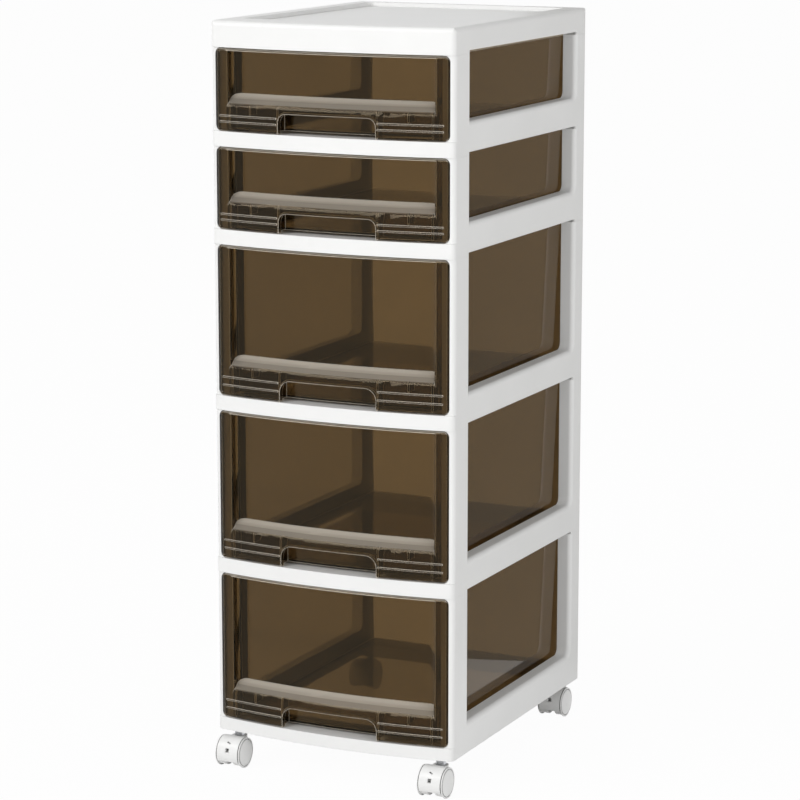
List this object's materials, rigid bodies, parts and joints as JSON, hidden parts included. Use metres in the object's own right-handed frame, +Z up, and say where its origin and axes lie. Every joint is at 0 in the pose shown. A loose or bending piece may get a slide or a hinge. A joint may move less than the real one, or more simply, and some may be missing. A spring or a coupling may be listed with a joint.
{
  "type": "drawer tower",
  "caption": "Tall narrow drawer tower with bow-fronted smoky see-through drawers in stacked white frames, a tray top and small twin-wheel casters",
  "frame": {"origin": "On the floor, at the middle of the overall plan with the drawers shut and the casters turned forward", "axes": "+X to the right of someone facing the drawers, +Y to the back, +Z up. The drawer fronts face -Y."},
  "size_m": [0.28, 0.3686, 0.805],
  "materials": {
    "frame_plastic": "moulded, softly shiny white",
    "smoked_plastic": "polished see-through smoky brown",
    "caster_plastic": "moulded white",
    "plated_steel": "bright plated"
  },
  "bodies": {
    "tower": {"top_cover": "frame_plastic", "tier_frame_1": "frame_plastic", "tier_frame_2": "frame_plastic", "tier_frame_3": "frame_plastic", "tier_frame_4": "frame_plastic", "tier_frame_5": "frame_plastic", "stem_front_left": "plated_steel", "stem_front_right": "plated_steel", "stem_rear_left": "plated_steel", "stem_rear_right": "plated_steel"},
    "drawer_1_body": {"drawer_1": "smoked_plastic"},
    "drawer_2_body": {"drawer_2": "smoked_plastic"},
    "drawer_3_body": {"drawer_3": "smoked_plastic"},
    "drawer_4_body": {"drawer_4": "smoked_plastic"},
    "drawer_5_body": {"drawer_5": "smoked_plastic"},
    "swivel_front_left": {"hood_front_left": "caster_plastic", "axle_front_left": "plated_steel"},
    "wheel_front_left_a_body": {"wheel_front_left_a": "caster_plastic"},
    "wheel_front_left_b_body": {"wheel_front_left_b": "caster_plastic"},
    "swivel_front_right": {"hood_front_right": "caster_plastic", "axle_front_right": "plated_steel"},
    "wheel_front_right_a_body": {"wheel_front_right_a": "caster_plastic"},
    "wheel_front_right_b_body": {"wheel_front_right_b": "caster_plastic"},
    "swivel_rear_left": {"hood_rear_left": "caster_plastic", "axle_rear_left": "plated_steel"},
    "wheel_rear_left_a_body": {"wheel_rear_left_a": "caster_plastic"},
    "wheel_rear_left_b_body": {"wheel_rear_left_b": "caster_plastic"},
    "swivel_rear_right": {"hood_rear_right": "caster_plastic", "axle_rear_right": "plated_steel"},
    "wheel_rear_right_a_body": {"wheel_rear_right_a": "caster_plastic"},
    "wheel_rear_right_b_body": {"wheel_rear_right_b": "caster_plastic"}
  },
  "joints": [
    {"name": "drawer_1_slide", "type": "slide", "parent": "tower", "child": "drawer_1_body", "axis": [0, -1, 0], "range_m": [0, 0.25]},
    {"name": "drawer_2_slide", "type": "slide", "parent": "tower", "child": "drawer_2_body", "axis": [0, -1, 0], "range_m": [0, 0.25]},
    {"name": "drawer_3_slide", "type": "slide", "parent": "tower", "child": "drawer_3_body", "axis": [0, -1, 0], "range_m": [0, 0.25]},
    {"name": "drawer_4_slide", "type": "slide", "parent": "tower", "child": "drawer_4_body", "axis": [0, -1, 0], "range_m": [0, 0.25]},
    {"name": "drawer_5_slide", "type": "slide", "parent": "tower", "child": "drawer_5_body", "axis": [0, -1, 0], "range_m": [0, 0.25]},
    {"name": "swivel_front_left_turn", "type": "hinge", "parent": "tower", "child": "swivel_front_left", "pos_m": [-0.1205, -0.15385, 0.037], "axis": [0, 0, 1], "continuous": true},
    {"name": "wheel_front_left_a_spin", "type": "hinge", "parent": "swivel_front_left", "child": "wheel_front_left_a_body", "pos_m": [-0.1205, -0.16745, 0.0165], "axis": [1, 0, 0], "continuous": true},
    {"name": "wheel_front_left_b_spin", "type": "hinge", "parent": "swivel_front_left", "child": "wheel_front_left_b_body", "pos_m": [-0.1205, -0.16745, 0.0165], "axis": [1, 0, 0], "continuous": true},
    {"name": "swivel_front_right_turn", "type": "hinge", "parent": "tower", "child": "swivel_front_right", "pos_m": [0.1205, -0.15385, 0.037], "axis": [0, 0, 1], "continuous": true},
    {"name": "wheel_front_right_a_spin", "type": "hinge", "parent": "swivel_front_right", "child": "wheel_front_right_a_body", "pos_m": [0.1205, -0.16745, 0.0165], "axis": [1, 0, 0], "continuous": true},
    {"name": "wheel_front_right_b_spin", "type": "hinge", "parent": "swivel_front_right", "child": "wheel_front_right_b_body", "pos_m": [0.1205, -0.16745, 0.0165], "axis": [1, 0, 0], "continuous": true},
    {"name": "swivel_rear_left_turn", "type": "hinge", "parent": "tower", "child": "swivel_rear_left", "pos_m": [-0.1205, 0.17035, 0.037], "axis": [0, 0, 1], "continuous": true},
    {"name": "wheel_rear_left_a_spin", "type": "hinge", "parent": "swivel_rear_left", "child": "wheel_rear_left_a_body", "pos_m": [-0.1205, 0.15675, 0.0165], "axis": [1, 0, 0], "continuous": true},
    {"name": "wheel_rear_left_b_spin", "type": "hinge", "parent": "swivel_rear_left", "child": "wheel_rear_left_b_body", "pos_m": [-0.1205, 0.15675, 0.0165], "axis": [1, 0, 0], "continuous": true},
    {"name": "swivel_rear_right_turn", "type": "hinge", "parent": "tower", "child": "swivel_rear_right", "pos_m": [0.1205, 0.17035, 0.037], "axis": [0, 0, 1], "continuous": true},
    {"name": "wheel_rear_right_a_spin", "type": "hinge", "parent": "swivel_rear_right", "child": "wheel_rear_right_a_body", "pos_m": [0.1205, 0.15675, 0.0165], "axis": [1, 0, 0], "continuous": true},
    {"name": "wheel_rear_right_b_spin", "type": "hinge", "parent": "swivel_rear_right", "child": "wheel_rear_right_b_body", "pos_m": [0.1205, 0.15675, 0.0165], "axis": [1, 0, 0], "continuous": true}
  ]
}
